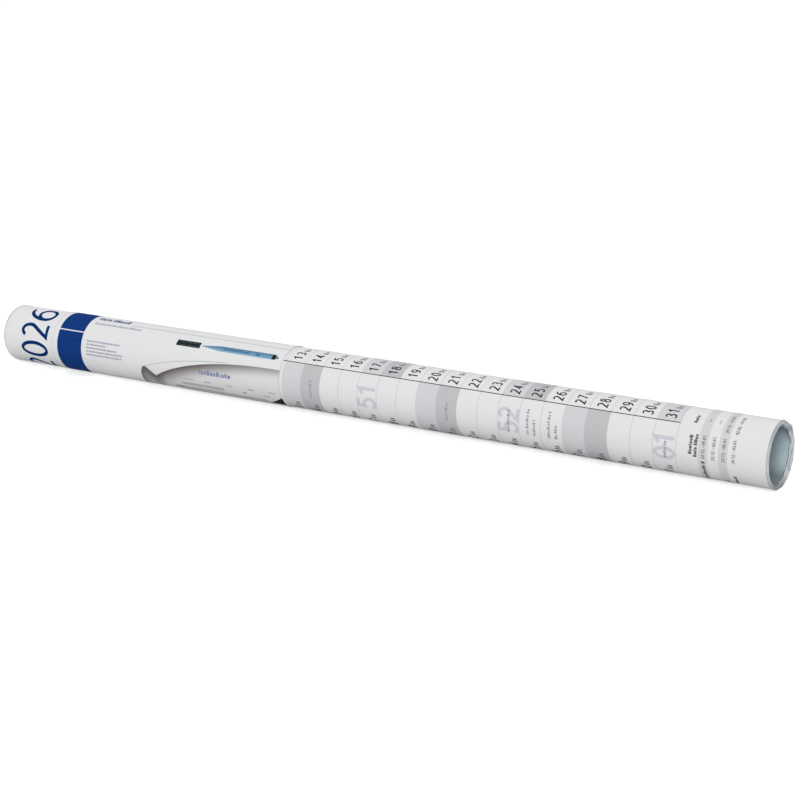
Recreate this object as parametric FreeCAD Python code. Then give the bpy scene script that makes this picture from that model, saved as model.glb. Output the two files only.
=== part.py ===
"""A dry erase wall planner as it is sold: rolled up, labelled and shrink-wrapped.

Three physical pieces make it up:

planner_sheet  the laminated sheet, rolled into a spiral of about seven turns with its print outward
label_sheet    a paper label wrapped once round the roll near the -X end, lapping over itself at the back
film_sleeve    a clear shrink film over the whole roll, drawn in over both ends with a hole left in each

The roll lies on its side along X. The front is -Y and the floor is z = 0. A soft roll settles a little
under its own weight, so every turn has the same small flat at the bottom. Sizes are in millimetres.

Angles round the roll start at the front, 0 degrees, and rise over the top, 90, to the back, 180, and to
the bottom, 270.
"""

import FreeCAD, Part
import math
import os

# the sheet: a laminated page, rolled along its long side
SHEET_WIDTH = 841.0  # flat size round the roll
SHEET_HEIGHT = 594.0  # flat size along the roll
SHEET_THICKNESS = 0.28
TURN_GAP = 0.10  # air between one turn and the next
ROLL_RADIUS = 20.52  # from the axis straight down to the sheet's outer face, before the flat is pressed in
FREE_EDGE_ANGLE = 251.5  # where the outer end of the sheet lies

# the small flat that the roll rests on, the same in every turn
FLAT_DEPTH = 0.36  # how far the bottom is pressed in
FLAT_CORNER_RADIUS = 10.0  # of the arcs between the flat and the round, on the sheet's outer face

# the label: a strip of paper round the roll
LABEL_LENGTH = 203.4  # along the roll
LABEL_OFFSET = 46.6  # from the sheet's -X end to the label's
LABEL_THICKNESS = 0.10
LABEL_OVERLAP = 12.0  # how far its outer end laps over its inner end
LABEL_EDGE_ANGLE = 170.0  # where its outer end lies
LABEL_CLEARANCE = 0.03  # between the sheet and the label, and between the label's two layers

# the film
FILM_THICKNESS = 0.06
FILM_CLEARANCE = 0.03  # between the label and the film
FILM_OVERHANG = 1.65  # how far the film stands past the sheet at each end
FILM_EDGE_RADIUS = 0.90  # of the round where the film turns in over an end
FILM_LIP = 3.65  # how far the film reaches in over an end, from its outer face

TURN_PITCH = SHEET_THICKNESS + TURN_GAP
LABEL_PITCH = LABEL_THICKNESS + LABEL_CLEARANCE
LABEL_RADIUS = ROLL_RADIUS + LABEL_CLEARANCE + LABEL_THICKNESS + LABEL_PITCH  # its outer layer, straight down
LABEL_REACH = LABEL_RADIUS + LABEL_PITCH / 4  # its outer layer at the back, where it stands furthest out
FILM_RADIUS = LABEL_REACH + FILM_CLEARANCE + FILM_THICKNESS  # the film's outer face
AXIS_HEIGHT = FILM_RADIUS - FLAT_DEPTH
FILM_LENGTH = SHEET_HEIGHT + 2 * FILM_OVERHANG


def arc(centre_y, centre_z, radius, start, end):
    """One arc of a wrap, in the section plane, with its angles in degrees."""
    return {"y": centre_y, "z": centre_z, "radius": radius, "start": start, "end": end}


def point_on(piece, angle, inward=0.0):
    """The point of an arc at an angle, moved inward from the outer face."""
    radius = piece["radius"] - inward
    turn = math.radians(angle)
    return FreeCAD.Vector(0, piece["y"] - radius * math.cos(turn), piece["z"] + radius * math.sin(turn))


def corner(radius, flat_height, corner_radius, side):
    """The arc that joins a round of the given radius to the flat, and the angle that it turns.

    side is -1 for the front corner and +1 for the back one. flat_height is measured from the axis.
    """
    turn = math.acos(1 - FLAT_DEPTH / (radius - corner_radius))
    centre_y = side * (radius - corner_radius) * math.sin(turn)
    turn = math.degrees(turn)
    start, end = (-90, -90 + turn) if side < 0 else (270 - turn, 270)
    return arc(centre_y, flat_height + corner_radius, corner_radius, start, end), turn


def wrap_arcs(radius, pitch, turns):
    """Arcs of a wrap's outer face. They start at the top, go down the back and wind inward.

    radius is from the axis straight down to the wrap's outermost layer, before its flat is pressed in.
    Each half turn is an arc whose radius is half a pitch smaller than the last, about two alternating
    centres, so that the halves meet without a kink at the top.
    """
    grown = radius - ROLL_RADIUS  # the corners of a wrap round the sheet are the sheet's, that much larger
    arcs = []
    for turn_number in range(-1, turns):
        bottom = radius - turn_number * pitch
        front_radius = bottom - pitch / 4
        back_radius = bottom - 3 * pitch / 4
        corner_radius = FLAT_CORNER_RADIUS + grown - turn_number * pitch
        front, turn = corner(front_radius, FLAT_DEPTH - bottom, corner_radius, -1)
        if turn_number >= 0:
            arcs.append(front)
            arcs.append(arc(0, -pitch / 4, front_radius, -90 + turn, 90))
        back, turn = corner(back_radius, FLAT_DEPTH - bottom + pitch, corner_radius - pitch, 1)
        arcs.append(arc(0, pitch / 4, back_radius, 90, 270 - turn))
        arcs.append(back)
    return arcs


def trimmed(arcs, start_angle, length, thickness):
    """The arcs of a wrap from its free edge, at an angle, to a given length along its mid thickness."""
    kept = []
    left = length
    for piece in arcs:
        piece = dict(piece)
        if not kept:
            if piece["end"] <= start_angle:
                continue
            piece["start"] = max(piece["start"], start_angle)
        else:
            flat = point_on(piece, piece["start"]) - point_on(kept[-1], kept[-1]["end"])
            if flat.Length >= left:  # it ends on this flat, so the next arc has no span
                piece["y"] -= flat.y * (1 - left / flat.Length)
                piece["end"] = piece["start"]
                return kept + [piece]
            left -= flat.Length
        radius = piece["radius"] - thickness / 2
        span = math.radians(piece["end"] - piece["start"]) * radius
        if span >= left:
            piece["end"] = piece["start"] + math.degrees(left / radius)
            return kept + [piece]
        left -= span
        kept.append(piece)
    raise ValueError("the wrap has too few turns for its length")


def face_edges(arcs, inward):
    """Edges along one face of a wrap, which are its arcs and the flats between them, and its two ends."""
    edges = []
    previous = None
    for piece in arcs:
        start = point_on(piece, piece["start"], inward)
        if previous is not None and previous.distanceToPoint(start) > 1e-6:
            edges.append(Part.LineSegment(previous, start).toShape())
        previous = start
        if piece["end"] > piece["start"]:
            middle = point_on(piece, (piece["start"] + piece["end"]) / 2, inward)
            previous = point_on(piece, piece["end"], inward)
            edges.append(Part.Arc(start, middle, previous).toShape())
    return edges, point_on(arcs[0], arcs[0]["start"], inward), previous


def rolled(arcs, thickness, length):
    """A sheet of a given thickness rolled along arcs and extruded along the roll, as one solid."""
    outer, outer_start, outer_end = face_edges(arcs, 0)
    inner, inner_start, inner_end = face_edges(arcs, thickness)
    ends = [
        Part.LineSegment(outer_end, inner_end).toShape(),
        Part.LineSegment(inner_start, outer_start).toShape(),
    ]
    wire = Part.Wire(Part.__sortEdges__(outer + inner + ends))
    return Part.Face(wire).extrude(FreeCAD.Vector(length, 0, 0))


def flat_bottomed_bar(radius, length):
    """A solid round bar with the roll's flat along its bottom, centred on the middle of the roll."""
    corner_radius = FLAT_CORNER_RADIUS + radius - ROLL_RADIUS
    front, turn = corner(radius, FLAT_DEPTH - radius, corner_radius, -1)
    back, turn = corner(radius, FLAT_DEPTH - radius, corner_radius, 1)
    body = [arc(0, 0, radius, -90 + turn, 90), arc(0, 0, radius, 90, 270 - turn)]
    edges, start, end = face_edges([front] + body + [back], 0)
    edges.append(Part.LineSegment(end, start).toShape())
    bar = Part.Face(Part.Wire(Part.__sortEdges__(edges))).extrude(FreeCAD.Vector(length, 0, 0))
    bar.translate(FreeCAD.Vector(-length / 2, 0, 0))
    return bar


def rounded_ends(bar, length, radius):
    """The same bar with its two end outlines rounded over."""
    rims = []
    for edge in bar.Edges:
        box = edge.BoundBox
        if abs(abs(box.Center.x) - length / 2) < 1e-6 and box.XLength < 1e-6:
            rims.append(edge)
    return bar.makeFillet(radius, rims)


def planner_sheet():
    shortest_turn = 2 * math.pi * ROLL_RADIUS / 2  # the roll never winds in to half its radius
    turns = math.ceil(SHEET_WIDTH / shortest_turn)
    spiral = wrap_arcs(ROLL_RADIUS, TURN_PITCH, turns)
    arcs = trimmed(spiral, FREE_EDGE_ANGLE, SHEET_WIDTH, SHEET_THICKNESS)
    sheet = rolled(arcs, SHEET_THICKNESS, SHEET_HEIGHT)
    sheet.translate(FreeCAD.Vector(-SHEET_HEIGHT / 2, 0, AXIS_HEIGHT))
    return sheet


def label_sheet():
    round_once = 2 * math.pi * (LABEL_RADIUS - LABEL_PITCH)
    spiral = wrap_arcs(LABEL_RADIUS, LABEL_PITCH, 2)
    arcs = trimmed(spiral, LABEL_EDGE_ANGLE, round_once + LABEL_OVERLAP, LABEL_THICKNESS)
    label = rolled(arcs, LABEL_THICKNESS, LABEL_LENGTH)
    label.translate(FreeCAD.Vector(LABEL_OFFSET - SHEET_HEIGHT / 2, 0, AXIS_HEIGHT))
    return label


def film_sleeve():
    outside = rounded_ends(flat_bottomed_bar(FILM_RADIUS, FILM_LENGTH), FILM_LENGTH, FILM_EDGE_RADIUS)
    inner_length = FILM_LENGTH - 2 * FILM_THICKNESS
    inside = rounded_ends(
        flat_bottomed_bar(FILM_RADIUS - FILM_THICKNESS, inner_length),
        inner_length,
        FILM_EDGE_RADIUS - FILM_THICKNESS,
    )
    hole = flat_bottomed_bar(FILM_RADIUS - FILM_LIP, FILM_LENGTH + 2 * FILM_OVERHANG)
    film = outside.cut(inside).cut(hole)
    film.translate(FreeCAD.Vector(0, 0, AXIS_HEIGHT))
    return film


os.makedirs("parts", exist_ok=True)
for name, build in (
    ("planner_sheet", planner_sheet),
    ("label_sheet", label_sheet),
    ("film_sleeve", film_sleeve),
):
    shape = build()
    solid = shape.Solids[0]
    box = solid.BoundBox
    print(
        f"{name}: solids {len(shape.Solids)}, valid {solid.isValid()}, volume {solid.Volume:.1f},"
        f" x {box.XMin:.2f}..{box.XMax:.2f}, y {box.YMin:.2f}..{box.YMax:.2f}, z {box.ZMin:.2f}..{box.ZMax:.2f}"
    )
    solid.exportStep(f"parts/{name}.step")
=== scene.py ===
"""The looks of a dry erase wall planner as it is sold: rolled up, labelled and shrink-wrapped.

The planner sheet, its label and the film are each a detailed mesh in place of the plain CAD solid.
What is printed on the sheet and the label is drawn flat, in millimetres, and then wrapped round the
roll as thin fields of ink, so that every field keeps its own colour and a clean edge.

Angles round the roll start at the front, 0 degrees, and rise over the top, 90, to the back, 180, and to
the bottom, 270. A print's place is along, in mm from the sheet's -X end, and around, in mm from the
front line upward.
"""

import calendar
import datetime
import functools
import math

import bmesh
import bpy
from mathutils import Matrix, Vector, noise
from mathutils.geometry import delaunay_2d_cdt


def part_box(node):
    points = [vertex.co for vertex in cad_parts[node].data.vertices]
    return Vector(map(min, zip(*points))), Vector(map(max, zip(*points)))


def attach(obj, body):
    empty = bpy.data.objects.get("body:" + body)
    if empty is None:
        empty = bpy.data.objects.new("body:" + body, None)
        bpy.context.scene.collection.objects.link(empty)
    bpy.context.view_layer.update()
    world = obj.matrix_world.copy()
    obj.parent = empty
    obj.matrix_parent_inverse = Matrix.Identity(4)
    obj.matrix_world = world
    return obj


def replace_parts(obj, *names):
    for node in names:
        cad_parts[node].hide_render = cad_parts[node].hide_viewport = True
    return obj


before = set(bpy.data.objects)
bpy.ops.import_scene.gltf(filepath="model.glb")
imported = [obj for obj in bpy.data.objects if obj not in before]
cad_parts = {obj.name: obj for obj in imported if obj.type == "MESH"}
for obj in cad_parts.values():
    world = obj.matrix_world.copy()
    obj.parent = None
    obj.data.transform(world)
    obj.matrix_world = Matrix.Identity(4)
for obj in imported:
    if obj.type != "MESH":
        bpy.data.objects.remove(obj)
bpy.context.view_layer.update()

MM = 0.001
STEP = 3.0  # degrees between the lines across which a wrapped surface is divided

# what the frame gives, in mm
_, film_high = (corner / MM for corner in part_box("film_sleeve"))
sheet_low, sheet_high = (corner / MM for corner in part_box("planner_sheet"))
label_low, label_high = (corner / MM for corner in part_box("label_sheet"))
FILM_RADIUS = film_high.y
AXIS_HEIGHT = film_high.z - FILM_RADIUS
FLAT_DEPTH = FILM_RADIUS - AXIS_HEIGHT  # how far the roll's own weight presses in its underside
FLAT_ROUNDING = 0.05  # how softly the flat runs out into the round
SHEET_HEIGHT = sheet_high.x - sheet_low.x

# the sheet, the label and the film, as in the CAD; widths are flat sizes, round the roll
SHEET_WIDTH = 841.0
SHEET_THICKNESS = 0.28
SHEET_PITCH = 0.38
SHEET_EDGE_ANGLE = 251.5
LABEL_THICKNESS = 0.10
LABEL_PITCH = 0.13
LABEL_EDGE_ANGLE = 170.0
LABEL_WIDTH = 141.8
FILM_THICKNESS = 0.06
FILM_EDGE_RADIUS = 0.90
FILM_LIP = 3.65

# ink: how far a field lies over the paper, and fields printed over one or two others
INK_LIFT = 0.02
SECOND_LIFT = INK_LIFT * 1.5
THIRD_LIFT = INK_LIFT * 2

# surfaces: scales are in features to the metre
SHEEN = 0.001  # how strongly paper and ink mirror, on the shader's own scale
FIBRE_SCALE = 2600
WAVE_SCALE = 160
WAVE_HEIGHT = 0.0004
STRETCHED = (0.25, 1, 1)  # makes waves longer along the roll
SHARP = math.radians(35)  # an edge that turns more than this is drawn sharp
WHITE = (1, 1, 1, 1)


def linear(value):
    """One channel of a shader's colour, from its 0 to 255 value on a screen."""
    c = value / 255
    return c / 12.92 if c <= 0.04045 else ((c + 0.055) / 1.055) ** 2.4


def colour(red, green, blue):
    """A colour for a shader, from the 0 to 255 values of a screen colour."""
    return (linear(red), linear(green), linear(blue), 1.0)


# ---------------------------------------------------------------- shape of the roll


def section(radius, angle):
    """The point at an angle of a round of that radius, with the roll's flat pressed into it, in mm."""
    turn = math.radians(angle)
    y = -radius * math.cos(turn)
    down = -radius * math.sin(turn)
    over = (down - (radius - FLAT_DEPTH)) / FLAT_ROUNDING
    if over > -30:
        down -= FLAT_ROUNDING * math.log1p(math.exp(over))
    return y, AXIS_HEIGHT - down


class Wrap:
    """A sheet wound inward from its free edge, at a given angle, a pitch nearer to the axis each turn.

    top is the height of its highest point, and slot the name of the material slot of the sheet and of its
    print, which is passed on to each piece but not used.
    """

    def __init__(self, top, pitch, edge_angle, flat_width, thickness, slot):
        self.pitch = pitch
        self.edge_angle = edge_angle
        self.flat_width = flat_width
        self.thickness = thickness
        self.slot = slot
        turned = (90 - edge_angle) % 360 / 360
        self.edge_radius = top - AXIS_HEIGHT + pitch * turned

    def radius(self, turned):
        """The radius of its outer face, a given angle in from the free edge."""
        return self.edge_radius - self.pitch * turned / 360

    def print_point(self, along, around, lift):
        """Where a point of the print lies on the outermost turn, in mm."""
        angle = math.degrees(around / self.edge_radius)
        radius = self.radius((angle - self.edge_angle) % 360) + lift
        y, z = section(radius, angle)
        return Vector((along - SHEET_HEIGHT / 2, y, z))

    def print_edge(self):
        """How far round from the front line the free edge lies, the short way below it, in mm."""
        return math.radians(self.edge_angle - 360) * self.edge_radius


SHEET = Wrap(sheet_high.z, SHEET_PITCH, SHEET_EDGE_ANGLE, SHEET_WIDTH, SHEET_THICKNESS, "laminate")
LABEL = Wrap(label_high.z, LABEL_PITCH, LABEL_EDGE_ANGLE, LABEL_WIDTH, LABEL_THICKNESS, "label_paper")


# ---------------------------------------------------------------- materials


class Nodes:
    """A short way to write the node tree of a material or of the world."""

    def __init__(self, owner, output="OutputMaterial"):
        owner.use_nodes = True
        self.owner = owner
        self.tree = owner.node_tree
        self.tree.nodes.clear()
        self.output = self.add(output)

    def feed(self, socket, value):
        """Link a socket to another node's output, or set it to a plain value."""
        if isinstance(value, bpy.types.NodeSocket):
            self.tree.links.new(value, socket)
        else:
            socket.default_value = value

    def add(self, kind, **inputs):
        """A node of a kind, with its inputs by name. An underscore stands for a space in a name."""
        node = self.tree.nodes.new("ShaderNode" + kind)
        for key, value in inputs.items():
            self.feed(node.inputs[key.replace("_", " ")], value)
        return node

    def surface(self, shader):
        """Make a shader the surface, and return the material or world."""
        self.feed(self.output.inputs["Surface"], shader.outputs[0])
        return self.owner

    def joined(self, kind, first, second, **inputs):
        """Two shaders joined by a MixShader or an AddShader."""
        node = self.add(kind, **inputs)
        for socket, shader in zip(list(node.inputs)[-2:], (first, second)):
            self.feed(socket, shader.outputs[0])
        return node

    def attribute(self, name):
        """A number that the mesh keeps at each of its points."""
        node = self.add("Attribute")
        node.attribute_name = name
        return node.outputs["Fac"]

    def seen(self):
        """1 for what is seen straight, through the film or mirrored, and 0 for what only gives light."""
        rays = self.add("LightPath").outputs
        unmirrored = self.math("MAXIMUM", rays["Is Camera Ray"], rays["Is Transmission Ray"])
        return self.math("MAXIMUM", unmirrored, rays["Is Glossy Ray"])

    def grain(self, scale, detail=2.0, stretch=(1, 1, 1)):
        """Noise in the object's own space, at a scale in features to the metre."""
        place = self.add("TexCoord").outputs["Object"]
        mapping = self.add("Mapping", Vector=place, Scale=stretch)
        return self.add("TexNoise", Vector=mapping.outputs[0], Scale=scale, Detail=detail).outputs["Fac"]

    def ramp(self, value, low, high):
        """value, from 0 to 1, turned into a number between low and high."""
        node = self.add("MapRange", Value=value, To_Min=low, To_Max=high)
        return node.outputs[0]

    def smooth(self, value, from_low, from_high, low, high):
        """value's place between two values, eased at both, turned into a number between low and high."""
        limits = {"From_Min": from_low, "From_Max": from_high, "To_Min": low, "To_Max": high}
        node = self.add("MapRange", Value=value, **limits)
        node.interpolation_type = "SMOOTHSTEP"
        return node.outputs[0]

    def math(self, operation, first, second=0.0):
        """The result of a Math node."""
        node = self.add("Math")
        node.operation = operation
        self.feed(node.inputs[0], first)
        self.feed(node.inputs[1], second)
        return node.outputs[0]

    def bump(self, height, distance, strength):
        """A normal tilted by a height, from 0 to 1, that stands for a distance in metres."""
        return self.add("Bump", Height=height, Distance=distance, Strength=strength).outputs[0]


def paper_material(name, tint, roughness, grain_height):
    """Coated or laminated paper: an even white with a faint cloudiness, a soft gloss and a fine grain."""
    n = Nodes(bpy.data.materials.new(name))
    duller = [c * 0.985 for c in tint[:3]] + [1]
    shade = n.add("MixRGB", Fac=n.grain(90, 3), Color1=duller, Color2=tint)
    fibre = n.grain(FIBRE_SCALE, 4)
    wave = n.bump(n.grain(WAVE_SCALE, 1, STRETCHED), WAVE_HEIGHT, 0.25)
    normal = n.add("Bump", Height=fibre, Distance=grain_height, Strength=0.35, Normal=wave).outputs[0]
    shader = n.add(
        "BsdfPrincipled",
        Base_Color=shade.outputs[0],
        Roughness=n.ramp(fibre, roughness - 0.06, roughness + 0.06),
        Specular_IOR_Level=SHEEN,
        Normal=normal,
    )
    return n.surface(shader)


HOLLOW_RADIUS = 17.6  # of the sheet's innermost turn
# the sheet's back carries painted shade, with painted light near the ends on the side round LIT_ANGLE
LIT_ANGLE = 190  # where the light that comes in at the ends falls
LIT_REACH = 24.0  # how far in from an end it falls


def hollow_material():
    """The sheet's back, seen only inside the roll: a cool white with painted shade, darker deep in and away
    from the light.
    """
    n = Nodes(bpy.data.materials.new("laminate_back_painted_shade"))
    place = n.add("SeparateXYZ", Vector=n.add("TexCoord").outputs["Object"])
    from_middle = n.math("ABSOLUTE", place.outputs["X"])
    painted_light_near_end = n.smooth(from_middle, (sheet_high.x - LIT_REACH) * MM, sheet_high.x * MM, 0.0, 1.0)
    lit_y, lit_z = section(HOLLOW_RADIUS, LIT_ANGLE)
    across = n.math("MULTIPLY", place.outputs["Y"], lit_y)
    height = n.math("SUBTRACT", place.outputs["Z"], AXIS_HEIGHT * MM)
    towards_light = n.math("ADD", across, n.math("MULTIPLY", height, lit_z - AXIS_HEIGHT))
    furthest = HOLLOW_RADIUS**2 * MM
    painted_light_side = n.smooth(towards_light, 0.6 * furthest, furthest, 0.3, 1.0)
    cloud = n.ramp(n.grain(110, 2), 0.86, 1.14)
    tone = n.math("MULTIPLY", n.math("MULTIPLY", painted_light_near_end, painted_light_side), cloud)
    # painted shade: dark deep in the roll and away from the light, and light near the ends on the lit side
    shade = n.add("MixRGB", Fac=tone, Color1=colour(106, 119, 126), Color2=colour(214, 235, 243))
    shader = n.add(
        "BsdfPrincipled",
        Base_Color=shade.outputs[0],
        Roughness=n.ramp(cloud, 0.24, 0.36),
        Specular_IOR_Level=0.2,
        Normal=n.bump(n.grain(WAVE_SCALE, 1, STRETCHED), WAVE_HEIGHT, 0.25),
    )
    return n.surface(shader)


def printed_ink(n, tint, roughness):
    """Printing ink of a tint, with a gloss that varies a little as the paper's does."""
    gloss = n.ramp(n.grain(FIBRE_SCALE, 2), roughness - 0.05, roughness + 0.05)
    return n.surface(n.add("BsdfPrincipled", Base_Color=tint, Roughness=gloss, Specular_IOR_Level=SHEEN))


def ink(name, red, green, blue):
    """Ink of one plain colour, from 0 to 255."""
    n = Nodes(bpy.data.materials.new("ink_" + name))
    return printed_ink(n, colour(red, green, blue), 0.42)


def shaded_ink(name, dark, light):
    """Ink printed as an even change from a dark colour to a light one, along the field's tone."""
    n = Nodes(bpy.data.materials.new("ink_" + name))
    shade = n.add("MixRGB", Fac=n.attribute("tone"), Color1=colour(*dark), Color2=colour(*light))
    return printed_ink(n, shade.outputs[0], 0.46)


def film_material():
    """Clear shrink film: all but unseen where it lies taut, and milky where it is gathered into folds, with
    painted light and shade there.
    """
    n = Nodes(bpy.data.materials.new("clear_film"))
    ripple = n.grain(240, 2, (0.3, 1, 1))
    normal = n.bump(ripple, 0.0004, 0.3)
    clear = n.add("BsdfTransparent", Color=(0.992, 0.993, 0.995, 1))
    gloss = n.add("BsdfGlossy", Color=WHITE, Roughness=0.16, Normal=normal)
    aslant = n.add("LayerWeight", Blend=0.5, Normal=normal).outputs["Facing"]
    taut = n.joined("MixShader", clear, gloss, Fac=n.ramp(n.math("POWER", aslant, 5.0), 0.001, 0.02))
    # the gathered film's painted shade and painted light, from a shaded grey to a lit white
    shadowed = colour(108, 115, 121)
    lit = colour(243, 245, 248)
    painted_light = n.add("MixRGB", Fac=n.attribute("painted_light"), Color1=shadowed, Color2=lit).outputs[0]
    folded = n.add("BsdfPrincipled", Base_Color=painted_light, Roughness=n.ramp(ripple, 0.10, 0.22), Normal=normal)
    gathered = n.ramp(n.attribute("gathered"), 0.0, 0.8)
    return n.surface(n.joined("MixShader", taut, folded, Fac=gathered))


PAPER_WHITE = colour(236, 236, 236)
LAMINATE = paper_material("laminate_face", PAPER_WHITE, 0.40, 0.00002)
LAMINATE_BACK_PAINTED_SHADE = hollow_material()
LAMINATE_EDGE = paper_material("laminate_edge", colour(206, 210, 222), 0.55, 0.00003)
LABEL_PAPER = paper_material("label_paper", PAPER_WHITE, 0.46, 0.00003)
# the label's cut edges are painted a darker violet grey, a painted shadow along them
LABEL_CUT_PAINTED_SHADE = paper_material("label_cut_painted_shade", colour(150, 146, 166), 0.6, 0.00003)
CLEAR_FILM = film_material()


# ---------------------------------------------------------------- pieces


def piece(name, points, faces, materials, slot, indices=None, sharp=SHARP):
    """A mesh piece of the object, from points in mm."""
    mesh = bpy.data.meshes.new(name)
    mesh.from_pydata([Vector(p) * MM for p in points], [], faces)
    for material in materials:
        mesh.materials.append(material)
    if indices:
        mesh.polygons.foreach_set("material_index", indices)
    mesh.polygons.foreach_set("use_smooth", [True] * len(mesh.polygons))
    mesh.set_sharp_from_angle(angle=sharp)
    thing = bpy.data.objects.new(name, mesh)
    bpy.context.scene.collection.objects.link(thing)
    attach(thing, "root")
    return thing


def keep(thing, name, values):
    """Keep a number at each of a piece's points, for its material to read."""
    thing.data.attributes.new(name, "FLOAT", "POINT").data.foreach_set("value", values)


def wound_corners(wrap, start, end, skew):
    """The four corners of a wound sheet, step by step inward, until all its flat width is used.

    start and end are its rims' places along the roll, and skew how far each turn is shifted along.
    """
    turned = 0.0
    left = wrap.flat_width
    previous = None
    while left > 0:
        angle = wrap.edge_angle + turned
        radius = wrap.radius(turned)
        outer = Vector(section(radius, angle))
        inner = Vector(section(radius - wrap.thickness, angle))
        if previous is not None:
            left -= (outer + inner - previous).length / 2
        previous = outer + inner
        shift = skew * turned / 360
        yield [(x + shift, *face) for x in (start, end) for face in (outer, inner)]
        turned += STEP


def rolled_sheet(name, wrap, start, end, skew, materials):
    """A sheet wound inward from its free edge, as a closed thin solid.

    materials are those of its print face, its back and its cut edges.
    """
    points = []
    for corners in wound_corners(wrap, start, end, skew):
        points += corners
    last = len(points) - 4
    faces = []
    indices = []
    for a in range(0, last, 4):
        b = a + 4
        faces += [(a, a + 2, b + 2, b), (a + 1, b + 1, b + 3, a + 3)]
        faces += [(a, b, b + 1, a + 1), (a + 2, a + 3, b + 3, b + 2)]
        indices += [0, 1, 2, 2]
    faces += [(0, 1, 3, 2), (last, last + 2, last + 3, last + 1)]
    indices += [2, 2]
    return piece(name, points, faces, materials, wrap.slot, indices)


def printed(name, fields, wrap, material, lift=INK_LIFT, tone=None):
    """Fields of ink on a wrap. A field is a polygon of (along, around) points.

    tone, if given, is a function of a place that the ink's shade follows, from 0 to 1.
    """
    flat = bmesh.new()
    for field in fields:
        flat.faces.new([flat.verts.new((*point, 0)) for point in field])
    bmesh.ops.remove_doubles(flat, verts=flat.verts, dist=1e-4)
    low = min(v.co.y for v in flat.verts)
    high = max(v.co.y for v in flat.verts)
    pace = math.radians(STEP) * wrap.edge_radius
    for line in range(math.ceil(low / pace), math.floor(high / pace) + 1):
        everything = flat.verts[:] + flat.edges[:] + flat.faces[:]
        bmesh.ops.bisect_plane(flat, geom=everything, plane_co=(0, line * pace, 0), plane_no=(0, 1, 0))
    for face in flat.faces:
        face.normal_update()
        if face.normal.z < 0:
            face.normal_flip()
    flat.verts.index_update()
    points = [wrap.print_point(v.co.x, v.co.y, lift) for v in flat.verts]
    faces = [[v.index for v in face.verts] for face in flat.faces]
    tones = [tone(v.co.x, v.co.y) for v in flat.verts] if tone else None
    flat.free()
    field = piece(name, points, faces, [material], wrap.slot)
    if tones:
        keep(field, "tone", tones)


# ---------------------------------------------------------------- flat drawing


def block(along, around, length, height):
    """A rectangle, from its lowest corner."""
    end = along + length
    top = around + height
    return [(along, around), (end, around), (end, top), (along, top)]


BOW_STEP = 10  # degrees between the points of a bow


def bow(centre_x, centre_y, radius_x, radius_y, start, end):
    """Points along part of an ellipse, from one angle to another."""
    steps = max(2, round(abs(end - start) / BOW_STEP))
    angles = [math.radians(start + (end - start) * i / steps) for i in range(steps + 1)]
    return [(centre_x + radius_x * math.cos(a), centre_y + radius_y * math.sin(a)) for a in angles]


# strokes of each numeral in a box of 1 by 1, from its lower left corner
SIX = [bow(0.5, 0.31, 0.5, 0.31, 180, -180), [(0.0, 0.31)] + bow(0.8, 0.38, 0.8, 0.62, 180, 80)]
NUMERALS = {
    "0": [bow(0.5, 0.5, 0.5, 0.5, 90, 450)],
    "1": [[(0.12, 0.78), (0.62, 1.0), (0.62, 0.0)]],
    "2": [bow(0.46, 0.73, 0.48, 0.27, 147, -45) + [(0.0, 0.0), (1.04, 0.0)]],
    "3": [bow(0.42, 0.765, 0.44, 0.235, 150, -90), bow(0.42, 0.265, 0.54, 0.265, 90, -145)],
    "4": [[(0.70, 0.0), (0.70, 1.0), (0.0, 0.29), (1.0, 0.29)]],
    "5": [[(0.90, 1.0), (0.16, 1.0)] + bow(0.42, 0.33, 0.54, 0.33, 124, -145)],
    "6": SIX,
    "7": [[(0.0, 1.0), (1.0, 1.0), (0.30, 0.0)]],
    "8": [bow(0.5, 0.765, 0.42, 0.235, 90, 450), bow(0.5, 0.265, 0.5, 0.265, 90, 450)],
    "9": [[(1 - x, 1 - y) for x, y in stroke] for stroke in SIX],
}


def run(line, width, closed):
    """Quads along a line of a given width that has no sharp corner, mitred where it bends."""
    count = len(line)
    sides = []
    for i, point in enumerate(line):
        before = line[i - 1] if closed or i > 0 else None
        after = line[(i + 1) % count] if closed or i < count - 1 else None
        into = (point - before).normalized() if before is not None else (after - point).normalized()
        onward = (after - point).normalized() if after is not None else into
        middle = (into + onward).normalized()
        across = Vector((-middle.y, middle.x)) * (width / 2 / middle.dot(onward))
        sides.append((point - across, point + across))
    ends = sides[1:] + sides[:1] if closed else sides[1:]
    return [[near[0], far[0], far[1], near[1]] for near, far in zip(sides, ends)]


def corner(point, into, onward, width):
    """The kite that fills the outside of a sharp corner between two runs."""
    turn = into.cross(onward)
    side = -1 if turn > 0 else 1
    first = Vector((-into.y, into.x)) * (side * width / 2)
    second = Vector((-onward.y, onward.x)) * (side * width / 2)
    middle = (into + onward).normalized()
    longest_tip = 0.4  # as the cosine of half the turn
    reach = width / 2 / max(longest_tip, middle.dot(onward))
    tip = Vector((-middle.y, middle.x)) * (side * reach)
    kite = [point, point + first, point + tip, point + second]
    return kite if side < 0 else kite[::-1]


SHARP_TURN = 0.85  # the cosine of the least turn that is drawn as a corner


def ribbon(points, width):
    """Fields along a stroke of a given width: a run up to each sharp corner, and the corners."""
    line = [Vector(p) for p in points]
    if (line[0] - line[-1]).length < 1e-6:
        return run(line[:-1], width, True)
    fields = []
    start = 0
    for i in range(1, len(line) - 1):
        into = (line[i] - line[i - 1]).normalized()
        onward = (line[i + 1] - line[i]).normalized()
        if into.dot(onward) < SHARP_TURN:
            fields += run(line[start : i + 1], width, False)
            fields.append(corner(line[i], into, onward, width))
            start = i
    return fields + run(line[start:], width, False)


def holds(field, point):
    """Whether a convex field, drawn anticlockwise, holds a point."""
    corners = [Vector(corner) for corner in field]
    pairs = zip(corners, corners[1:] + corners[:1])
    return all((after - before).cross(point - before) > -1e-6 for before, after in pairs)


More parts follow.
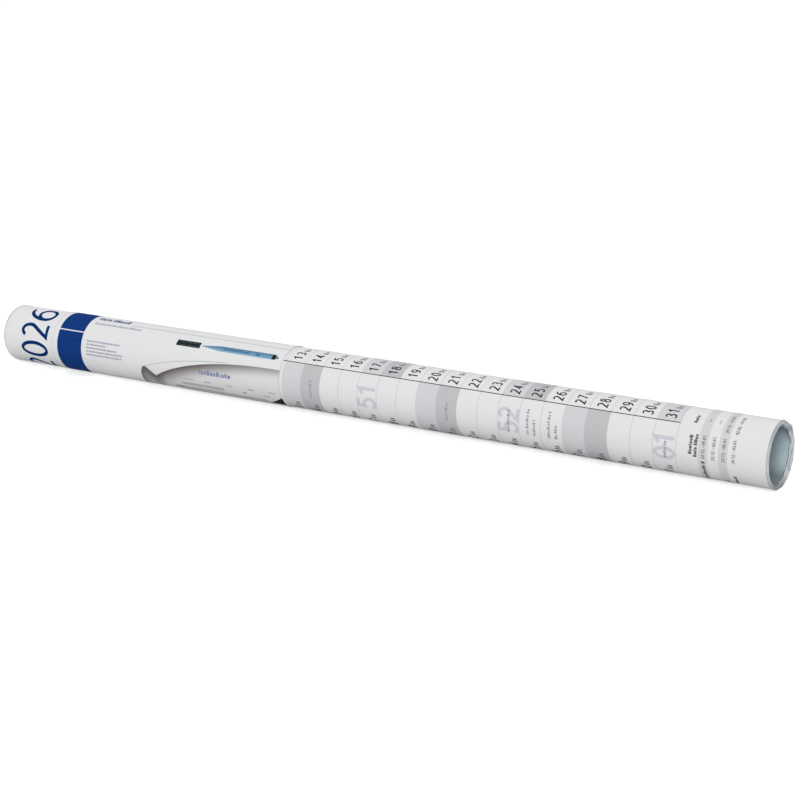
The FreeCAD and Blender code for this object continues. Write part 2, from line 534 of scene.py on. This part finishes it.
def merged(fields):
    """The same fields as triangles that don't overlap."""
    points = [Vector(point) for field in fields for point in field]
    faces = []
    for field in fields:
        first = faces[-1][-1] + 1 if faces else 0
        faces.append(list(range(first, first + len(field))))
    whole = 0  # the outline that the triangles fill
    nearness = 1e-4
    points, _, faces, _, _, _ = delaunay_2d_cdt(points, [], faces, whole, nearness, False)
    kept = []
    for triangle in [[points[i] for i in face] for face in faces]:
        middle = sum(triangle, Vector((0, 0))) / 3
        if any(holds(field, middle) for field in fields):
            kept.append(triangle)
    return kept


@functools.lru_cache(None)
def numeral(digit, width, height, stroke):
    """A numeral in a box of a given size, drawn with one even stroke."""
    across = width - stroke
    up = height - stroke
    fields = []
    for line in NUMERALS[digit]:
        points = [(stroke / 2 + x * across, stroke / 2 + y * up) for x, y in line]
        fields += ribbon(points, stroke)
    return merged(fields)


def moved(fields, right, up):
    """The same fields, moved."""
    return [[(right + x, up + y) for x, y in field] for field in fields]


def number(digits, width, height, stroke, advance):
    """Several numerals in a row."""
    fields = []
    for i, digit in enumerate(digits):
        fields += moved(numeral(digit, width, height, stroke), i * advance, 0.0)
    return fields


WORD_LETTERS = (7, 4, 9, 3, 6, 8, 2, 5)  # how many letters the words have, in turn
LETTER_WIDTHS = (0.62, 0.5, 0.68, 0.28, 0.58, 0.5, 0.75)  # of the letters in turn, for a size of 1


def words(length, size, seed=0, pattern=WORD_LETTERS, weight=1.0):
    """A line of stand-in type: small blocks of letter size, in words, size mm tall and length mm long.

    seed is the letter and the word that it starts with, and weight how much of its width a block takes.
    """
    low_letter = 0.72
    letter_gap = 0.2
    word_gap = 0.35
    fields = []
    x = 0.0
    letter = seed
    word = seed
    left = pattern[word % len(pattern)]
    while True:
        width = LETTER_WIDTHS[letter % len(LETTER_WIDTHS)] * size
        if x + width > length:
            return fields
        tall = letter % 3 == 0 or left == pattern[word % len(pattern)]
        fields.append(block(x, 0.0, width * weight, size if tall else size * low_letter))
        x += width + size * letter_gap
        letter += 1
        left -= 1
        if left == 0:
            x += size * word_gap
            word += 1
            left = pattern[word % len(pattern)]


def dates(days, size):
    """A span of days such as 22.12. - 05.01., in numerals size mm tall."""
    dot = [block(0.0, 0.0, size * 0.15, size * 0.15)]
    dash = [block(size * 0.16, size * 0.36, size * 0.55, size * 0.14)]
    advances = {".": 0.3, "-": 0.94}
    fields = []
    x = 0.0
    for mark in days:
        if mark == ".":
            shape = dot
        elif mark == "-":
            shape = dash
        else:
            shape = numeral(mark, size * 0.52, size, size * 0.17)
        fields += moved(shape, x, 0.0)
        x += size * advances.get(mark, 0.63)
    return fields


def on_sheet(fields, along, around):
    """Fields drawn upright, with their start set at a place on the sheet. They read up round the roll."""
    return [[(along - y, around + x) for x, y in field] for field in fields]


def on_label(fields, along, around):
    """Fields drawn upright, with their start set at a place on the label. They read along the roll."""
    return moved(fields, along, around)


# ---------------------------------------------------------------- the planner's print

LABEL_START = label_low.x - sheet_low.x
LABEL_END = label_high.x - sheet_low.x
MONTHS = ((2025, 12), (2026, 1), (2026, 2))  # the columns that show on the outermost turn
FIRST_COLUMN = -28.1  # where the first column starts, around
COLUMN_WIDTH = 43.95
FIRST_ROW = 72.4  # where the first day's row starts, along
ROW_HEIGHT = 15.02
TABLE_TOP = 552.0  # where the table's first row starts, along
TABLE_ROW_HEIGHT = 6.3
TABLE_COLUMNS = (-3.8, 13.8, 37.0, 54.0, 71.0)  # where its columns of dates start, around
# made-up spans of days for the table
HOLIDAYS = ("22.12.-05.01.", "23.12.-02.01.", "22.12.-06.01.", "24.12.-03.01.", "02.02.-07.02.")
SHEET_MARGIN = 0.6  # left bare along the sheet's free edge
SHEET_PRINT_END = SHEET.print_edge() + 2 * math.pi * SHEET.edge_radius - SHEET_MARGIN

NIGHT_BLUE = ink("night_blue", 6, 50, 108)
BLACK = ink("black", 42, 42, 46)
TYPE_GREY = ink("type_grey", 84, 84, 88)
TYPE_DARK = ink("type_dark", 78, 78, 84)
HEADING_GREY = ink("heading_grey", 112, 112, 114)
MARK_GREY = ink("mark_grey", 146, 146, 150)
NOTE_GREY = ink("note_grey", 164, 164, 168)
PALE_LAVENDER = ink("pale_lavender", 210, 210, 218)
SATURDAY_GREY = ink("saturday_grey", 217, 217, 219)
SUNDAY_GREY = ink("sunday_grey", 199, 199, 201)
LINE_GREY = ink("line_grey", 200, 200, 203)


def row_start(day):
    """Where a day's row starts, along."""
    return FIRST_ROW + ROW_HEIGHT * (day - 1)


def shown_days():
    """Every day whose cell shows beyond the label, with its column's start, as (date, around)."""
    first_shown = math.ceil((LABEL_END - FIRST_ROW) / ROW_HEIGHT) + 1
    for column, (year, month) in enumerate(MONTHS):
        for day in range(first_shown, calendar.monthrange(year, month)[1] + 1):
            yield datetime.date(year, month, day), FIRST_COLUMN + column * COLUMN_WIDTH


def column_width(around):
    """The width of the column that starts at a place, or what is left for it before the sheet's edge."""
    return min(COLUMN_WIDTH, SHEET_PRINT_END - around)


def print_year():
    """The year, large, in numerals of their own widths."""
    height = 25.8
    stroke = 2.65
    gap = 2.25
    baseline = 41.25
    start = -25.3
    fields = []
    for digit, width in (("2", 11.5), ("0", 12.7), ("2", 11.5), ("6", 13.4)):
        fields += on_sheet(numeral(digit, width, height, stroke), baseline, start)
        start += width + gap
    printed("print_year", fields, SHEET, NIGHT_BLUE)


def print_weekday(name, weekday, material):
    """The cells of one day of the week, filled."""
    cells = []
    for date, around in shown_days():
        if date.weekday() == weekday:
            cells.append(block(row_start(date.day), around, ROW_HEIGHT, column_width(around)))
    printed(name, cells, SHEET, material)


def print_lines():
    """Thin grey lines between the days, and a black line down each column's left side."""
    thin = 0.3
    thick = 0.55
    rows = []
    for date, around in shown_days():
        rows.append(block(row_start(date.day) - thin / 2, around, thin, column_width(around)))
    columns = [FIRST_COLUMN + i * COLUMN_WIDTH for i in range(len(MONTHS))]
    last_row = row_start(32) - thin / 2
    rows += [block(last_row, around, thin, COLUMN_WIDTH) for around in columns[:2]]
    printed("print_row_lines", rows, SHEET, LINE_GREY, SECOND_LIFT)
    sides = [block(LABEL_END, around - thick / 2, last_row - LABEL_END, thick) for around in columns]
    printed("print_column_lines", sides, SHEET, BLACK, THIRD_LIFT)


def print_days():
    """The day's number and a stand-in for its weekday's name, at the left of each cell."""
    down = 11.4
    number_margin = 2.2
    mark_margin = 11.3
    mark = [block(0, 0, 1.6, 3.9), block(2.3, 0, 1.6, 2.9)]
    numbers = []
    weekdays = []
    for date, around in shown_days():
        baseline = row_start(date.day) + down
        digits = number(f"{date.day:02d}", width=3.35, height=7.3, stroke=0.94, advance=4.25)
        numbers += on_sheet(digits, baseline, around + number_margin)
        weekdays += on_sheet(mark, baseline, around + mark_margin)
    printed("print_day_numbers", numbers, SHEET, BLACK, THIRD_LIFT)
    printed("print_weekday_marks", weekdays, SHEET, MARK_GREY, THIRD_LIFT)


def print_weeks():
    """The week's number, as tall as the row, in each Wednesday's cell."""
    down = 14.85
    margin = 19.9
    room = 18.0  # that a number needs
    fields = []
    for date, around in shown_days():
        start = around + margin
        if date.weekday() == calendar.WEDNESDAY and start + room < SHEET_PRINT_END:
            week = f"{date.isocalendar()[1]:02d}"
            digits = number(week, width=8.4, height=14.7, stroke=2.2, advance=8.6)
            fields += on_sheet(digits, row_start(date.day) + down, start)
    printed("print_week_numbers", fields, SHEET, PALE_LAVENDER, SECOND_LIFT)


def print_notes():
    """Stand-ins for the names of feast days, in the first column."""
    size = 1.9
    lines = (  # day, how far down its row, how far into the column, length
        (14, 8.7, 21.2, 12.6),
        (21, 8.7, 21.2, 12.4),
        (24, 8.4, 20.8, 15.2),
        (25, 6.7, 20.7, 18.0),
        (25, 11.5, 20.7, 10.6),
        (26, 6.6, 20.8, 18.2),
        (26, 11.5, 20.8, 10.2),
        (31, 8.8, 21.2, 10.4),
    )
    fields = []
    for seed, (day, down, into, length) in enumerate(lines):
        note = words(length, size, seed, weight=0.95)
        fields += on_sheet(note, row_start(day) + down, FIRST_COLUMN + into)
    printed("print_notes", fields, SHEET, NOTE_GREY, THIRD_LIFT)


def table_baseline(row):
    """Where the type in one of the table's rows stands, along."""
    return TABLE_TOP + row * TABLE_ROW_HEIGHT + 4.1


def print_table_rows():
    """The table under the days: every other row shaded, with names in stand-in type."""
    start = SHEET.print_edge() + 6.0
    names_start = -21.6
    band = TABLE_ROW_HEIGHT * 0.9
    length = SHEET_PRINT_END - start
    bands = [block(TABLE_TOP + row * TABLE_ROW_HEIGHT, start, band, length) for row in (0, 2)]
    names = []
    for row, length in enumerate((16.2, 2.0, 1.8, 8.6)):
        names += on_sheet(words(length, 2.1, row + 2), table_baseline(row), names_start)
    printed("print_table_rows", bands, SHEET, SATURDAY_GREY)
    printed("print_table_names", names, SHEET, TYPE_DARK, THIRD_LIFT)


def print_table_dates():
    """The table's spans of dates, with a dash in some cells that have none."""
    dash = [block(5.6, 0.7, 2.4, 0.35)]
    fields = []
    for column, around in enumerate(TABLE_COLUMNS):
        for row in range(4):
            if column % 2 and row < 2:
                entry = dash
            else:
                entry = dates(HOLIDAYS[(column + row) % len(HOLIDAYS)], 2.05)
            fields += on_sheet(entry, table_baseline(row), around)
    printed("print_table_dates", fields, SHEET, TYPE_GREY, THIRD_LIFT)


def print_table_headings():
    """Stand-ins for the headings over the table's columns, of one line or of two."""
    size = 2.2
    bold = 1.15
    first_line = 548.0
    second_line = 551.2
    fields = []
    for column, around in enumerate(TABLE_COLUMNS):
        if column % 2:
            fields += on_sheet(words(6.8, size, column, weight=bold), first_line, around + 3.6)
        else:
            fields += on_sheet(words(11.6, size, column, weight=bold), first_line, around + 1.8)
            fields += on_sheet(words(14.6, size, column + 1, weight=bold), second_line, around + 0.4)
    printed("print_table_headings", fields, SHEET, HEADING_GREY, THIRD_LIFT)


# ---------------------------------------------------------------- the label's print

LABEL_MARGIN = 0.15  # left bare along the label's edges
LABEL_PRINT_LOW = LABEL.print_edge() + LABEL_MARGIN
LABEL_PRINT_HIGH = LABEL.print_edge() + 2 * math.pi * LABEL.edge_radius - LABEL_MARGIN
BAND_START = LABEL_START + 5.0
BAND_LENGTH = 23.0
TYPE_START = BAND_START + BAND_LENGTH + 5.0

LABEL_BLUE = ink("label_blue", 20, 59, 127)
HEADING_VIOLET = ink("heading_violet", 92, 96, 144)
VIOLET_GREY = ink("violet_grey", 152, 153, 176)
PALE_VIOLET = ink("pale_violet", 174, 175, 192)
EDGE_LINE_GREY = ink("edge_line_grey", 206, 198, 210)
CAP_BLACK = ink("cap_black", 34, 42, 44)
BARREL_BLUE = ink("barrel_blue", 108, 152, 182)
BARREL_LIGHT = ink("barrel_light", 132, 174, 200)
BARREL_DARK = ink("barrel_dark", 78, 122, 156)
NIB_GREY = ink("nib_grey", 132, 120, 114)
CAP_SHINE = ink("cap_shine", 78, 92, 94)
PAGE_SHADE = shaded_ink("page", (104, 97, 96), (230, 229, 229))
PAGE_EDGE = ink("page_edge", 176, 174, 178)
PAGE_TITLE = ink("page_title", 136, 144, 178)
PAGE_TYPE = ink("page_type", 168, 166, 168)
PAGE_TABLE = ink("page_table", 192, 192, 194)


def label_band():
    """A deep blue band round the label's start, with a thin white line across it at the upper front."""
    line_at = 12.9
    line_width = 0.85
    lower = block(BAND_START, LABEL_PRINT_LOW, BAND_LENGTH, line_at - LABEL_PRINT_LOW)
    upper = block(BAND_START, line_at + line_width, BAND_LENGTH, LABEL_PRINT_HIGH - line_at - line_width)
    printed("label_blue_band", [lower, upper], LABEL, LABEL_BLUE)


def label_type():
    """A thin pale violet line along the label's -X edge, and stand-ins for the heading, the subtitle, a
    small paragraph and a rule.
    """
    edge_line = [block(LABEL_START + LABEL_MARGIN, LABEL_PRINT_LOW, 0.3, LABEL_PRINT_HIGH - LABEL_PRINT_LOW)]
    printed("label_edge_line", edge_line, LABEL, EDGE_LINE_GREY)
    heading = on_label(words(29.5, 4.0, seed=1), TYPE_START, 27.0)
    printed("label_heading", heading, LABEL, HEADING_VIOLET)
    subtitle = on_label(words(45.0, 2.2, seed=2), TYPE_START, 21.5)
    printed("label_subtitle", subtitle, LABEL, PALE_VIOLET)
    first_line = 7.0
    line_height = 2.45
    small = []
    for i, length in enumerate((31.0, 18.5, 28.0, 34.0, 34.0)):
        small += on_label(words(length, 1.35, seed=i), TYPE_START, first_line - line_height * i)
    printed("label_paragraph", small, LABEL, VIOLET_GREY)
    rule_margin = 32.0
    rule = [block(TYPE_START + rule_margin, 25.7, LABEL_END - TYPE_START - rule_margin, 0.35)]
    printed("label_rule", rule, LABEL, VIOLET_GREY)


PEN_MIDDLE = 17.1  # the pen's own line, around
PEN_TIP = 180.6  # of its tail, along
PEN_TAIL = 197.0  # where its tail ends and its full width starts
PEN_COLLAR = 240.2
PEN_NIB = 243.2


def pen_strip(low, high):
    """Part of the pen's barrel between two heights over its own line, drawn in to the tip of its tail."""
    narrowed = 0.16
    return [
        (PEN_TIP, PEN_MIDDLE + low * narrowed),
        (PEN_TAIL, PEN_MIDDLE + low),
        (PEN_COLLAR, PEN_MIDDLE + low),
        (PEN_COLLAR, PEN_MIDDLE + high),
        (PEN_TAIL, PEN_MIDDLE + high),
        (PEN_TIP, PEN_MIDDLE + high * narrowed),
    ]


def pen_block(along, low, length, height):
    """A rectangle on the pen, whose lower side is a height over the pen's own line."""
    return block(along, PEN_MIDDLE + low, length, height)


def label_pen():
    """A plain marker pen: its cap laid behind it, its collar, its nib, and its barrel in simple fields."""
    cap = [pen_block(158.3, -2.3, 20.6, 4.7), pen_block(PEN_COLLAR, -2.0, 3.0, 4.0)]
    printed("label_pen_cap", cap, LABEL, CAP_BLACK)
    nib_end = 245.6
    nib = [
        (PEN_NIB, PEN_MIDDLE - 1.4),
        (nib_end, PEN_MIDDLE - 1.0),
        (nib_end, PEN_MIDDLE + 0.5),
        (PEN_NIB, PEN_MIDDLE + 1.0),
    ]
    printed("label_pen_nib", [nib], LABEL, NIB_GREY)
    shine = [pen_block(159.6, 0.9, 18.6, 0.5), pen_block(159.6, -1.5, 18.6, 0.35)]
    printed("label_pen_cap_shine", shine, LABEL, CAP_SHINE, SECOND_LIFT)
    printed("label_pen_light", [pen_strip(-2.1, -0.7)], LABEL, BARREL_LIGHT)
    printed("label_pen_barrel", [pen_strip(-0.7, 1.3)], LABEL, BARREL_BLUE)
    sign = [pen_block(198.5, -0.6, 23.0, 1.3), pen_block(226.5, -1.0, 3.6, 1.7)]
    printed("label_pen_dark", [pen_strip(1.3, 2.1)] + sign, LABEL, BARREL_DARK, SECOND_LIFT)


PAGE_LOW = math.radians(-104) * LABEL.edge_radius  # the page's lower edge, underneath the roll
PAGE_CORNER = 127.0  # where the page begins, along
PAGE_PEAK = (133.0, -4.0)  # of its curled corner
PAGE_VALLEY = (142.0, -10.4)  # where the corner meets its upper edge
ONE_WORD = (12,)  # stand-in type whose words are too long to end


def along_curve(ends, pulls, steps):
    """Points of a cubic curve between two ends, pulled towards two more."""
    (a, d), (b, c) = [[Vector(p) for p in pair] for pair in (ends, pulls)]
    curve = []
    for i in range(steps + 1):
        t = i / steps
        s = 1 - t
        curve.append(a * s**3 + 3 * b * s * s * t + 3 * c * s * t * t + d * t**3)
    return curve


def page_outline():
    """The upper edge of a page whose corner curls up, from its lower left to the label's edge."""
    up = along_curve(((PAGE_CORNER, -22.0), PAGE_PEAK), ((127.4, -10.0), (130.0, -3.6)), 8)
    down = along_curve((PAGE_PEAK, PAGE_VALLEY), ((136.0, -4.6), (139.0, -8.6)), 6)
    edge = along_curve((PAGE_VALLEY, (LABEL_END, 8.4)), ((156.0, -1.0), (190.0, 9.2)), 30)
    return up + down[1:] + edge[1:]


def page_height(along):
    """How far round the page's upper edge lies, at a place along it."""
    outline = page_outline()
    for left, right in zip(outline, outline[1:]):
        if left.x <= along <= right.x:
            return left.y + (right.y - left.y) * (along - left.x) / (right.x - left.x)
    return outline[0].y if along < outline[0].x else outline[-1].y


def page_tone(along, around):
    """The page is in shadow under its curled edge, deepest towards the corner, and light further down."""
    corner_end = 150
    reach = 7.0 + 0.075 * (LABEL_END - along) + 0.9 * max(0.0, corner_end - along)
    depth = min(1.0, max(0.0, (page_height(along) - around) / reach))
    shade_end = 182
    start = 0.0057 * max(0.0, along - shade_end)
    return start + (1 - start) * math.sin(math.pi / 2 * depth) ** 1.4


def page_fields():
    """The page, as strips below its upper edge, narrow where its shade changes fast, and the rest."""
    depths = (0.0, 0.25, 0.6, 1.2, 2.2, 3.6, 5.5, 8.0, 11.0, 15.0)
    outline = page_outline()
    fields = []
    for left, right in zip(outline, outline[1:]):
        for upper, lower in zip(depths, depths[1:]):
            bottom = [(left.x, left.y - lower), (right.x, right.y - lower)]
            fields.append(bottom + [(right.x, right.y - upper), (left.x, left.y - upper)])
        top = [(right.x, right.y - depths[-1]), (left.x, left.y - depths[-1])]
        fields.append([(left.x, PAGE_LOW), (right.x, PAGE_LOW)] + top)
    return fields


def label_page():
    """A picture of the planner's own page, its corner curling up, drawn as shaded fields."""
    printed("label_page", page_fields(), LABEL, PAGE_SHADE, tone=page_tone)
    back_edge = along_curve((PAGE_PEAK, (206.0, 7.7)), ((146.0, 0.6), (168.0, 5.6)), 16)
    printed("label_page_edge", run(back_edge, 0.35, False), LABEL, PAGE_EDGE, SECOND_LIFT)


def label_page_print():
    """What stands on the pictured page: stand-in type and pale blocks for its table."""
    title = on_label(words(28.5, 3.4, 3, ONE_WORD), 182.0, -3.2)
    printed("label_page_title", title, LABEL, PAGE_TITLE, SECOND_LIFT)
    months = []
    for i, start in enumerate((152.0, 167.5, 185.5, 204.5, 223.0, 240.5)):
        months += on_label(words(9.0 if i < 2 else 5.5, 1.3, i), start, -9.6)
    printed("label_page_months", months, LABEL, PAGE_TYPE, SECOND_LIFT)
    table = [block(163.5, -14.6, 37.0, 2.6), block(216.5, -14.2, 3.5, 2.0), block(234.5, -13.6, 6.0, 1.2)]
    first_row = -19.4
    row_height = 4.2
    table += [block(158.0, first_row - row_height * i, 78.0, 2.2) for i in range(4)]
    printed("label_page_table", table, LABEL, PAGE_TABLE, SECOND_LIFT)
    small = on_label(words(6.8, 1.7, 4, ONE_WORD), 156.0, -19.0)
    printed("label_page_small", small, LABEL, HEADING_VIOLET, THIRD_LIFT)
    corner_start = 236.5
    corner_low = -20.8
    dark_corner = [(corner_start, corner_low), (LABEL_END, corner_low), (LABEL_END, -12.0)]
    printed("label_page_corner", [dark_corner], LABEL, CAP_BLACK, THIRD_LIFT)


# ---------------------------------------------------------------- the film

FILM_STEPS = 360  # points round the film
PLAIN_END = 30.0  # how far from the film's ends its plain middle starts
HOLE_BEAD = 0.32  # radius of the bead that the hole's edge is rolled into
# degrees that each chord of the near rim spans, from the front up
RIM_CHORDS = (14, 20, 18, 24, 22, 37, 35, 30, 20, 20, 12, 12, 12, 12, 13, 23, 17, 19)


def rim_dent(angle):
    """How far the stiff rim, which goes round in short chords, lies inside the true round, in mm."""
    passed = 0.0
    for span in RIM_CHORDS:
        if angle <= passed + span:
            across = math.radians(angle - passed - span / 2)
            return FILM_RADIUS * (1 - math.cos(math.radians(span / 2)) / math.cos(across))
        passed += span
    return 0.0


def bell(angle, middle, width):
    """1 at the middle angle, falling to 0 on both sides of it."""
    return math.exp(-(((angle - middle) / width) ** 2))


def folds(angle, inward, side, around=1.5, across=1.9):
    """The height of the gathered film's creases, from about -1 to 1, inward mm in from the rim's outside.

    side is the end of the roll, -1 or 1, and around and across are how closely the creases follow each
    other round the rim and in from it.
    """
    turn = math.radians(angle)
    place = Vector((around * math.cos(turn), around * math.sin(turn), across * inward + 9.0 * side))
    return noise.noise(place) + 0.5 * noise.noise(place * 2.3)


def film_profile():
    """Rings of the film's end, as (x, radius, gathered, sunk), over the shoulder and in to the hole.

    gathered is how milky the film is there, and sunk how far that ring follows the lip inward.
    """
    half = film_high.x
    for back, gathered in ((6.0, 0.0), (3.0, 0.0), (1.75, 0.0), (1.3, 0.45)):
        yield half - back, FILM_RADIUS, gathered, 0.0
    shoulder = FILM_EDGE_RADIUS
    for i in range(1, 7):
        turn = math.radians(15 * i)
        radius = FILM_RADIUS - shoulder + shoulder * math.cos(turn)
        yield half - shoulder + shoulder * math.sin(turn), radius, 0.55 + 0.45 * i / 6, 0.0
    width = FILM_LIP - shoulder - HOLE_BEAD
    for i in range(1, 17):
        yield half, FILM_RADIUS - shoulder - width * i / 16, 1.0, (i / 16) ** 1.6
    for i in range(1, 8):
        turn = math.radians(36 * i)
        radius = FILM_RADIUS - FILM_LIP + HOLE_BEAD - HOLE_BEAD * math.sin(turn)
        yield half - HOLE_BEAD + HOLE_BEAD * math.cos(turn), radius, 1.0, 1.0


def film_rings():
    """Every ring of the film, from the hole at -X to the one at +X, with the side that it is on."""
    ends = list(film_profile())
    middle = film_high.x - PLAIN_END
    rings = [(-x, radius, gathered, sunk, -1) for x, radius, gathered, sunk in reversed(ends)]
    rings += [(-middle, FILM_RADIUS, 0.0, 0.0, -1), (middle, FILM_RADIUS, 0.0, 0.0, 1)]
    return rings + [(x, radius, gathered, sunk, 1) for x, radius, gathered, sunk in ends]


def wider_hole(angle):
    """How much further out the hole's edge lies low at the front, where less film is drawn in, in mm."""
    return 0.8 * bell(angle, 290, 32)


def film_painted_light(angle, inward):
    """The painted light and shade on the gathered film: darkest underneath, darker inward but at the back,
    lighter at the front and the back, with painted streaks of light and shade along its creases.
    """
    # painted light and shade: lighter at the front and the back, painted shade underneath and inward, and
    # painted highlights and shade along the creases
    sides = math.cos(math.radians(2 * (angle - 8)))
    under = bell(angle, 282, 24)
    back = bell(angle, 205, 42)
    front = max(0.0, math.cos(math.radians(angle - 34))) ** 3
    painted_inward_shade = inward * (0.07 * (1 - back) + 0.11 * front)
    painted_crease_light = folds(angle, inward + 4.0, 1, 2.2, 2.6) * min(1.0, 0.2 + 0.5 * inward)
    light = 0.69 - painted_inward_shade - 0.06 * back + 0.12 * sides - 0.6 * under + painted_crease_light
    return min(1.0, max(0.0, light))


def film_point(ring, angle):
    """A point of a ring, moved in by the rim's chords and by its creases, in mm.

    The +X end is crumpled more than the -X end, which was shrunk down smoothly.
    """
    x, radius, _, sunk, side = ring
    crumpled = 1.0 if side > 0 else 0.15
    inward = FILM_RADIUS - radius
    past_sheet = min(1.0, max(0.0, (abs(x) - sheet_high.x - 0.05) / 0.5))
    fold = folds(angle, inward, side)
    depth = past_sheet * min(1.0, 0.15 + inward / 1.2)  # how much of the creases shows here
    reach = radius - past_sheet * crumpled * rim_dent(angle) - 0.10 * depth * abs(fold)
    reach += sunk * wider_hole(angle)
    lean = 1.65 - 0.1 * math.cos(math.radians(angle))  # how far the lip leans into the roll
    shift = sunk * lean + depth * (0.45 * max(0.0, fold) + 0.1) * (0.4 + 0.6 * crumpled)
    y, z = section(reach, angle)
    return x - side * shift, y, z


def film_sleeve():
    """The shrink film: a tight skin round the roll, drawn in over both ends into a crumpled lip."""
    angles = [360 * i / FILM_STEPS for i in range(FILM_STEPS)]
    rings = film_rings()
    points = []
    cloud = []
    painted_light = []
    for ring in rings:
        _, radius, gathered, _, side = ring
        if side < 0:
            gathered *= 0.5
        for angle in angles:
            points.append(film_point(ring, angle))
            cloud.append(gathered)
            painted_light.append(film_painted_light(angle, FILM_RADIUS - radius))
    faces = []
    for start in range(0, FILM_STEPS * (len(rings) - 1), FILM_STEPS):
        for i in range(FILM_STEPS):
            a = start + i
            b = start + (i + 1) % FILM_STEPS
            faces.append((a, a + FILM_STEPS, b + FILM_STEPS, b))
    film = piece("film_skin", points, faces, [CLEAR_FILM], "clear_film", sharp=math.pi)
    keep(film, "gathered", cloud)
    keep(film, "painted_light", painted_light)
    wall = film.modifiers.new("wall", "SOLIDIFY")
    wall.thickness = FILM_THICKNESS * MM
    wall.offset = -1
    return film


# ---------------------------------------------------------------- the object

TURN_SHIFT = -0.03  # of each of the sheet's turns along from the last
roll_materials = [LAMINATE, LAMINATE_BACK_PAINTED_SHADE, LAMINATE_EDGE]
roll = rolled_sheet("planner_roll", SHEET, sheet_low.x, sheet_high.x, TURN_SHIFT, roll_materials)
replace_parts(roll, "planner_sheet")
label_materials = [LABEL_PAPER, LABEL_PAPER, LABEL_CUT_PAINTED_SHADE]
label = rolled_sheet("label_strip", LABEL, label_low.x, label_high.x, 0.0, label_materials)
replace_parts(label, "label_sheet")
print_year()
print_weekday("print_saturdays", calendar.SATURDAY, SATURDAY_GREY)
print_weekday("print_sundays", calendar.SUNDAY, SUNDAY_GREY)
print_lines()
print_days()
print_weeks()
print_notes()
print_table_rows()
print_table_dates()
print_table_headings()
label_band()
label_type()
label_pen()
label_page()
label_page_print()
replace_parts(film_sleeve(), "film_sleeve")


# ---------------------------------------------------------------- stage, light and camera

SKY = 0.62  # how bright the surroundings are to what they light


def white_floor():
    """A matt white floor. What looks at it also sees a base brightness, which keeps it white."""
    n = Nodes(bpy.data.materials.new("floor_white"))
    matt = n.add("BsdfDiffuse", Color=(0.7, 0.7, 0.7, 1))
    base = n.add("Emission", Color=WHITE, Strength=SKY)
    both = n.joined("AddShader", matt, base)
    return n.surface(n.joined("MixShader", matt, both, Fac=n.seen()))


def stage():
    """A wide floor under the roll."""
    mesh = bpy.data.meshes.new("floor")
    reach = 15.0
    corners = [(-reach, -reach, 0), (reach, -reach, 0), (reach, reach, 0), (-reach, reach, 0)]
    mesh.from_pydata(corners, [], [(0, 1, 2, 3)])
    mesh.materials.append(white_floor())
    floor = bpy.data.objects.new("floor", mesh)
    bpy.context.scene.collection.objects.link(floor)


def sky():
    """Even light from all round. What looks at it sees pure white."""
    n = Nodes(bpy.data.worlds.new("studio"), "OutputWorld")
    bpy.context.scene.world = n.owner
    light = n.add("Background", Color=WHITE, Strength=SKY)
    white = n.add("Background", Color=WHITE, Strength=1.0)
    n.surface(n.joined("MixShader", light, white, Fac=n.seen()))


def placed(name, data, place, target):
    """A light or a camera at a place, turned towards a target, in metres."""
    thing = bpy.data.objects.new(name, data)
    thing.location = place
    forward = Vector(target) - Vector(place)
    thing.rotation_euler = forward.to_track_quat("-Z", "Y").to_euler()
    bpy.context.scene.collection.objects.link(thing)
    return thing


def softbox(name, place, size, power):
    """A round soft light turned towards the roll's middle."""
    lamp = bpy.data.lights.new(name, "AREA")
    lamp.shape = "DISK"
    lamp.size = size
    lamp.energy = power
    placed(name, lamp, place, (0, 0, 0))


def lights():
    """Even light from the sky, a large soft light from the front and a faint one from above the back."""
    sky()
    softbox("front_softbox", (4.2, -10.2, 5.1), size=9.6, power=600.0)
    softbox("back_softbox", (-0.3, 1.7, 2.4), size=2.4, power=14.0)


def camera():
    """The photograph's view: from the front right, a little above, with a long lens."""
    lens = bpy.data.cameras.new("camera")
    lens.sensor_width = 36.0
    lens.lens = 83.57
    view = placed("camera", lens, (0.67167, -0.98392, 0.32403), (0.0156, 0.03146, 0.00612))
    bpy.context.scene.camera = view


stage()
lights()
camera()
bpy.context.scene.view_settings.view_transform = "Standard"
bpy.context.view_layer.update()
